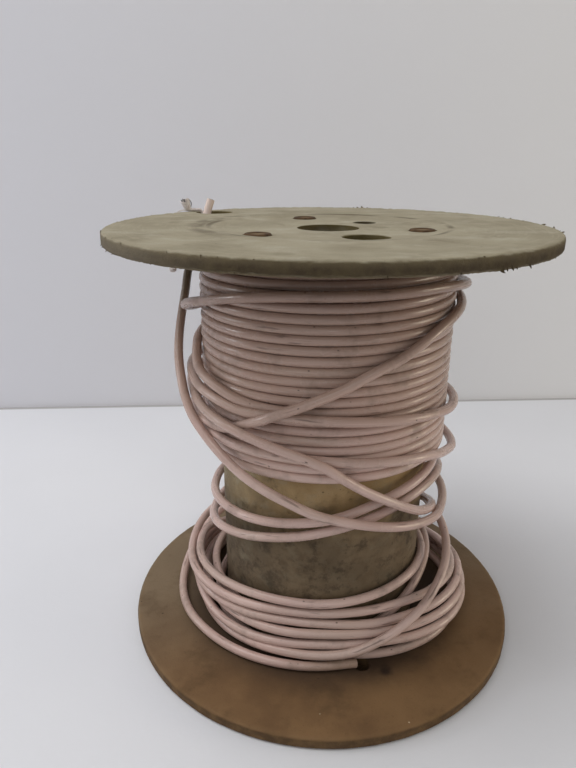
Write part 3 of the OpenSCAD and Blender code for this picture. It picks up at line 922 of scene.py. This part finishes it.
# %% The rust
rust, shader, place = begin("rusty_steel")
z = part_of(place, "z")
lump, grain = noise(place, 0.003, 4, 0.65), noise(place, 0.0006, 3, 0.6)
level_face = rise(stored(place, "sawn"), 0.3, 0.08)
dust = level_face * rise(z + 0.0003 * lump, 0.2064, 0.2061) * rise(z, 0.2052, 0.2056)
ground = coats(
    blend(rise(lump, 0.35, 0.65), colour(58, 43, 28), colour(90, 68, 44)),
    (rise(grain, 0.5, 0.7) * 0.4, colour(94, 66, 42)),
    (dust * 0.8, colour(136, 117, 90)))
paint(shader, ground, 0.72 + 0.15 * dust, 0.6 * lump + 0.3 * grain, 0.0004, shine=0.2)
for piece in (*bolts, *(nodes[f"nut_{i}"] for i in (1, 2, 3))):
    piece.data.materials.clear()
    piece.data.materials.append(rust)
print("rust nodes", len(rust.node_tree.nodes))

# %% [markdown]
# ## The frayed end
# Beside the tail a second, short end comes up through the exit hole. Its vinyl has gone pale: it is
# drawn out thin over the lip of the hole, and at its tip it has split, and a few tinned strands curl
# out. The sleeve is a bevelled curve made into a mesh. Its rings are shrunk where it is thin, the last
# ones are opened out and pulled up and down so that it ends raggedly, and Solidify gives the skin its
# thickness.

# %% Sweep the sleeve
END = np.array([
    (137, 93.6, 198), (137.5, 93.9, 203), (138, 94.4, 206), (138.6, 95.5, 207.9), (139.5, 97.4, 208.1),
    (140.4, 99.3, 208.1), (141.1, 100.6, 208.7), (141.5, 101.2, 210), (141.7, 101.5, 211.6),
    (142, 101.9, 213.2)])
SLEEVE_R, SLEEVE_SIDES, SKIN = 2.1, 16, 0.4
THIN, THICK_RINGS, OPEN_RINGS = 0.4, 10, 6
end_line = on_spool(smooth(END, 0.0007))
sleeve = swept("frayed_sleeve", [end_line], SLEEVE_R, SLEEVE_SIDES, caps=False)
print("sleeve rings", len(end_line))

# %% Open its tip
rng = random.Random(3)
pull = Vector(end_line[-1]) - Vector(end_line[-4])
for i, vertex in enumerate(sleeve.data.vertices):
    ring_at, spoke = divmod(i, SLEEVE_SIDES)
    from_end = len(end_line) - ring_at
    middle = Vector(end_line[ring_at])
    opened = max(0, (OPEN_RINGS - from_end) / OPEN_RINGS)
    thick = min(1, max(THIN, THIN + 0.15 * (THICK_RINGS - from_end)))
    tear = 0.5 + 0.5 * math.sin(2.1 * spoke + 1) * math.cos(0.9 * spoke)
    vertex.co = middle + (vertex.co - middle) * thick * (1 + 0.3 * opened + 0.06 * rng.uniform(-1, 1))
    vertex.co += pull * opened * (tear - 0.6)
skin = sleeve.modifiers.new("skin", "SOLIDIFY")
skin.thickness, skin.offset = SKIN * MM, -1
alone(sleeve)
bpy.ops.object.modifier_apply(modifier=skin.name)
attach(sleeve, "root")
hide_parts("wire_end")
print("sleeve faces", len(sleeve.data.polygons))

# %% [markdown]
# ## Bare strands
# The conductor is a bundle of fine tinned strands, each a thin curve of its own. They splay out of the
# frayed sleeve, one of them in a loop, and at the cut end of the tail they show as a round bundle flush
# with the vinyl. A torn thread of the pale skin hangs down behind the rim, and its curled tip shows
# below the board.


# %% Splay the strands
def round_by(first, second, angle):
    """A direction between two square ones."""
    return first * math.cos(angle) + second * math.sin(angle)


SPLAYED, STRAND_R = 11, 0.26
tip = Vector(end_line[-5])
onward = (Vector(end_line[-1]) - tip).normalized()
aside = onward.cross(UP).normalized()
upward = aside.cross(onward)
lines = []
for i in range(SPLAYED):
    turn = 2.4 * i
    root = tip + round_by(aside, upward, turn) * MM * (0.3 + 0.1 * i)
    reach, curl = rng.uniform(2.2, 4.2) * MM, rng.uniform(0.6, 1.5) * MM
    path = []
    for t in np.linspace(0, 1, 12):
        swing = round_by(aside, upward, turn + 1.4 * t) * curl * t**1.6 * 1.3
        path.append(root + onward * (reach * (t + 0.1 * t * t) - 1.5 * MM * (1 - t)) + swing)
    lines.append(path)
lines.append([
    tip + (onward * (1 + 2.1 * math.sin(a)) + upward * (1.5 - 1.5 * math.cos(a))
           + aside * 0.8 * math.sin(a / 2)) * MM
    for a in np.linspace(0, 5.2, 22)])
print("splayed strands", len(lines))

# %% Bundle the strands in the tail's cut end
cut = Vector(centre[0])
inward = (Vector(centre[2]) - cut).normalized()
across = inward.cross(Vector((1, 0, 0))).normalized()
beside = inward.cross(across)
for ring_r, strands_in_ring in ((0, 1), (0.56, 6), (1.12, 12)):
    for i in range(strands_in_ring):
        spot = cut + round_by(across, beside, 2 * math.pi * i / strands_in_ring) * ring_r * MM
        lines.append([spot - inward * 0.12 * MM, spot + inward * 0.6 * MM])
strands = swept("bare_strands", lines, STRAND_R, 6)
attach(strands, "root")
print("strands", len(lines), "faces", len(strands.data.polygons))

# %% Hang the torn thread
HANG = np.array([
    (139.7, 97.2, 208.2), (141.6, 100.2, 207.9), (143.6, 102.6, 207.6), (145.4, 103.4, 205.5),
    (146.8, 103.3, 200), (147.6, 103, 192), (148, 102.7, 184), (148.2, 102.5, 177.5)])
THREAD_R, CURLS, CURL_R = 0.36, 18, 1.8
hang_line = on_spool(smooth(HANG, 0.001))
threads = [hang_line]
for i in range(CURLS):
    facing_x, facing_y = CURL_R * math.cos(1.1 * i), CURL_R * math.sin(1.1 * i)
    threads.append([hang_line[-1] + MM * np.array([
        facing_x * math.sin(a + i), facing_y * math.sin(a + i), -1.5 - 1.4 * math.cos(a + i)])
        for a in np.linspace(0, 4.5, 14)])
thread = swept("torn_thread", threads, THREAD_R, 6)
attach(thread, "root")
print("thread faces", len(thread.data.polygons))

# %% The sleeve's and the strands' finishes
pale, shader, place = begin("pale_vinyl")
lump, grain = noise(place, 0.0025, 3), noise(place, 0.0006, 3)
ground = coats(
    blend(rise(lump, 0.35, 0.65), colour(196, 184, 178), colour(226, 220, 216)),
    (rise(grain, 0.55, 0.75) * 0.5, colour(128, 118, 112)))
paint(shader, ground, 0.42 + 0.2 * lump, lump + 0.3 * grain, 0.0003)
for piece in (sleeve, thread):
    piece.data.materials.append(pale)
tinned, shader, place = begin("tinned_copper")
lump = noise(place, 0.0012, 3)
ground = blend(rise(lump, 0.35, 0.7), colour(96, 98, 104), colour(176, 172, 166))
paint(shader, ground, 0.35 + 0.3 * lump, lump, 0.0001)
shader.inputs["Metallic"].default_value = 0.8
strands.data.materials.append(tinned)
print("small finishes", len(pale.node_tree.nodes), len(tinned.node_tree.nodes))

# %% [markdown]
# ## Table and wall
# The spool stands on a white table against a pale wall. The wall's foot is found by sending two rays
# of the camera down to the table, through the ends of the line where they meet in the photograph. A
# thin line of painted shade runs along it, where the wall meets the table. Seen from behind, the wall
# lets light through, so that the spool can be viewed from every side.


# %% Set up the table and the wall
def on_table(px, py):
    """The point of the table under a pixel of the photograph."""
    ray = ahead * FOCAL_LENGTH + right * (px - PHOTO_WIDTH / 2) - above * (py - PHOTO_HEIGHT / 2)
    return camera.location - ray * (camera.location.z / ray.z)


def sheet(name):
    """A plane that reaches past the picture."""
    bpy.ops.object.select_all(action="DESELECT")
    bpy.ops.mesh.primitive_plane_add(size=8)
    bpy.context.object.name = name
    return bpy.context.object


FOOT_LEFT, FOOT_RIGHT = (0, 408), (576, 398)
foot_a, foot_b = on_table(*FOOT_LEFT), on_table(*FOOT_RIGHT)
run = (foot_b - foot_a).normalized()
facing = run.cross(UP)
floor, wall = sheet("floor"), sheet("wall")
wall.matrix_world = Matrix.Translation((foot_a + foot_b) / 2) @ Matrix(
    (run, UP, facing)).transposed().to_4x4()
print("wall foot", [round(c, 3) for c in (*foot_a[:2], *foot_b[:2])])

# %% The table's finish
table_finish, shader, place = begin("table")
to_wall = place.add("VectorMath", {"operation": "DOT_PRODUCT"}, {0: place, 1: facing}, out="Value")
# Painted shade: a thin dark line along the wall's foot.
gap = rise(abs(to_wall - foot_a.dot(facing)), 0.0055, 0.003)
tone = noise(place, 0.2, 3)
ground = coats(
    blend(rise(tone, 0.3, 0.7), colour(219, 220, 224), colour(223, 224, 228)),
    (gap * 0.6, colour(120, 112, 104)),
    (specks(place, 0.05, 0.0006, 0.14) * 0.7, colour(90, 90, 98)))
paint(shader, ground, 0.5 + 0.1 * tone, noise(place, 0.002, 2), 0.00005)
floor.data.materials.append(table_finish)
print("table nodes", len(table_finish.node_tree.nodes))

# %% The wall's finish
wall_finish, shader, place = begin("wall")
tone = noise(place, 0.3, 3)
lit_side = rise(part_of(place, "x") + 0.1 * tone, -0.3, 0.5)
ground = blend(lit_side, colour(221, 221, 227), colour(236, 235, 234))
paint(shader, ground, 0.8 + 0.1 * tone, noise(place, 0.004, 2), 0.00005)
behind = place.add("NewGeometry", out="Backfacing")
one_sided = behind.add("MixShader", None, {
    0: behind, 1: Value(shader.outputs[0]), 2: behind.add("BsdfTransparent")})
surface = wall_finish.node_tree.nodes["Material Output"].inputs["Surface"]
wall_finish.node_tree.links.new(one_sided.socket, surface)
wall.data.materials.append(wall_finish)
print("wall nodes", len(wall_finish.node_tree.nodes))

# %% [markdown]
# ## Light
# The light is soft and comes from above and a little from the front, with a small bright window on the
# left, which makes the glints on the wire, and a warm lamp far off on the right. It is set so that a
# colour renders about as it is written.


# %% Lamps and world
def lamp(name, place, target, size, power, tint):
    """A square area lamp that faces a point."""
    data = bpy.data.lights.new(name, "AREA")
    data.size, data.energy, data.color = size, power, tint
    made = added(name, data)
    made.location = place
    made.rotation_euler = (Vector(target) - Vector(place)).to_track_quat("-Z", "Y").to_euler()


scene.view_settings.view_transform = "Standard"
lamp("ceiling", (-0.55, 0.08, 1.5), (0, 0, 0.1), 1.2, 17.8, (1, 0.99, 0.98))
lamp("room", (-0.3, -1.25, 1), (0, 0, 0.12), 1.2, 4, (1, 0.98, 0.95))
lamp("window", (-1.3, -0.05, 0.5), (0, 0, 0.12), 0.22, 2.4, (0.97, 0.98, 1))
lamp("warm", (2.2, -0.05, 0.4), (0, 0, 0.14), 0.7, 10.5, (1, 0.88, 0.67))
scene.world = bpy.data.worlds.new("room")
scene.world.use_nodes = True
background = scene.world.node_tree.nodes["Background"]
background.inputs["Color"].default_value = (0.95, 0.97, 1, 1)
background.inputs["Strength"].default_value = 0.29

# %% [markdown]
# ## The looks and the solids
# The looks may pass the CAD model's solids by a hair, as torn fibres do, but not by much.
